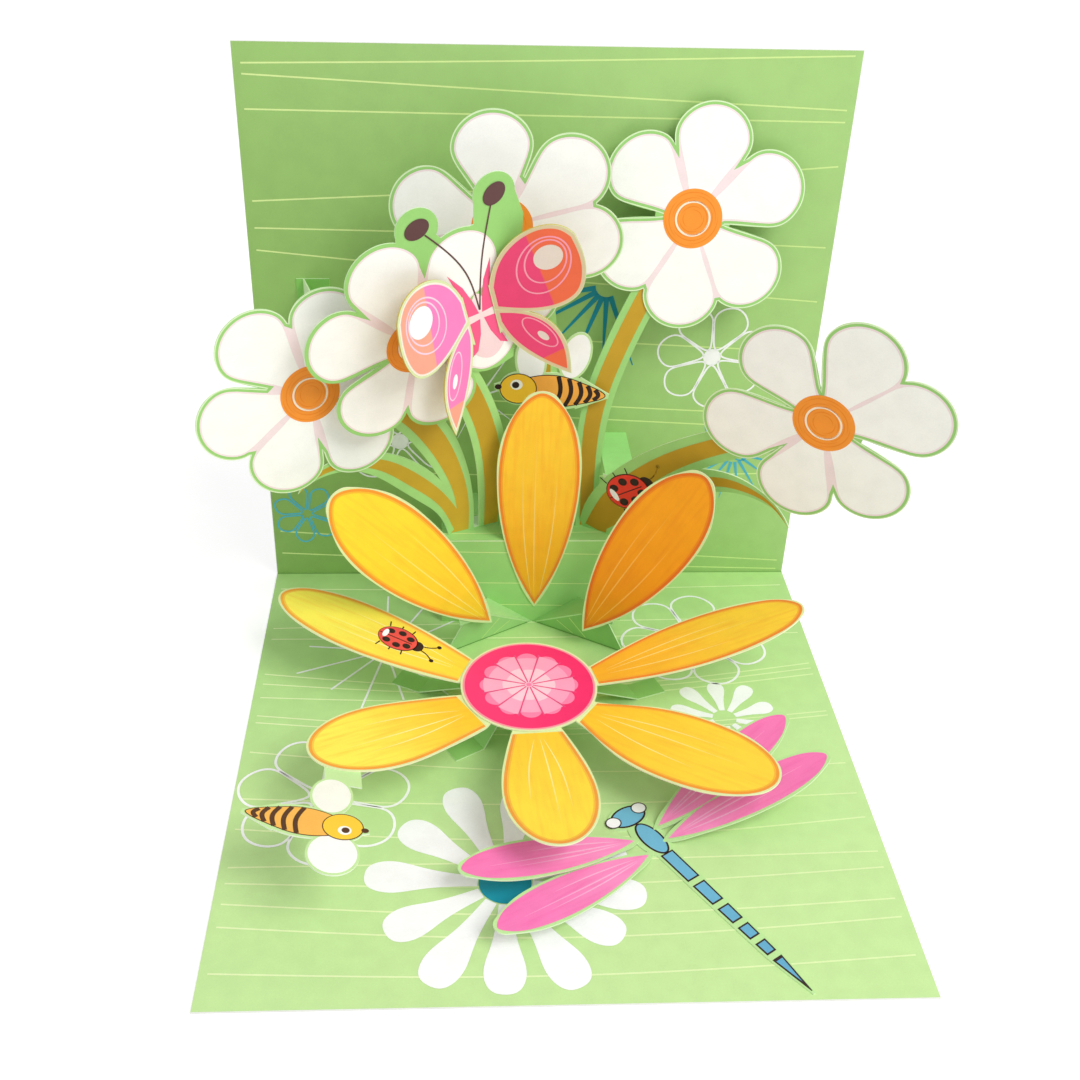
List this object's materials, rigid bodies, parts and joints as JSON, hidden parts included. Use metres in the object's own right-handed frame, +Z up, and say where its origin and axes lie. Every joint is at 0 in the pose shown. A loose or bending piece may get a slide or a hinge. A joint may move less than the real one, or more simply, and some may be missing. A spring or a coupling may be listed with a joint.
{
  "type": "pop up card",
  "caption": "Folded greeting card standing open at a right angle, with a die-cut paper garden of flowers, leaves and insects that stands up inside it.",
  "frame": {"origin": "middle of the lower panel's underside, where the card rests", "axes": "+X to the right along the fold, +Y back to the fold, +Z up"},
  "size_m": [0.168, 0.1525, 0.1504],
  "materials": {
    "card_green": "satin",
    "strip_green": "satin",
    "strip_white": "satin",
    "stem_green": "satin",
    "daisy_white": "satin",
    "petal_yellow": "satin",
    "disc_pink": "satin",
    "wing_pink": "satin",
    "bee_orange": "satin"
  },
  "bodies": {
    "root": {"card_sheet": "card_green", "step_box": "card_green", "left_gusset": "card_green", "right_gusset": "card_green", "left_strut": "strip_green", "right_strut": "strip_green", "flower_stand": "strip_white", "left_stem_sheet": "stem_green", "middle_stem_sheet": "stem_green", "right_stem_sheet": "stem_green", "daisy_left": "daisy_white", "daisy_butterfly": "daisy_white", "daisy_top": "daisy_white", "daisy_tall": "daisy_white", "daisy_right": "daisy_white", "petal_back": "petal_yellow", "petal_upper_left": "petal_yellow", "petal_upper_right": "petal_yellow", "petal_left": "petal_yellow", "petal_right": "petal_yellow", "petal_lower_left": "petal_yellow", "petal_front": "petal_yellow", "petal_lower_right": "petal_yellow", "centre_disc": "disc_pink", "butterfly_wings": "wing_pink", "dragonfly": "wing_pink", "upper_bee": "bee_orange", "lower_bee": "bee_orange"}
  },
  "joints": []
}
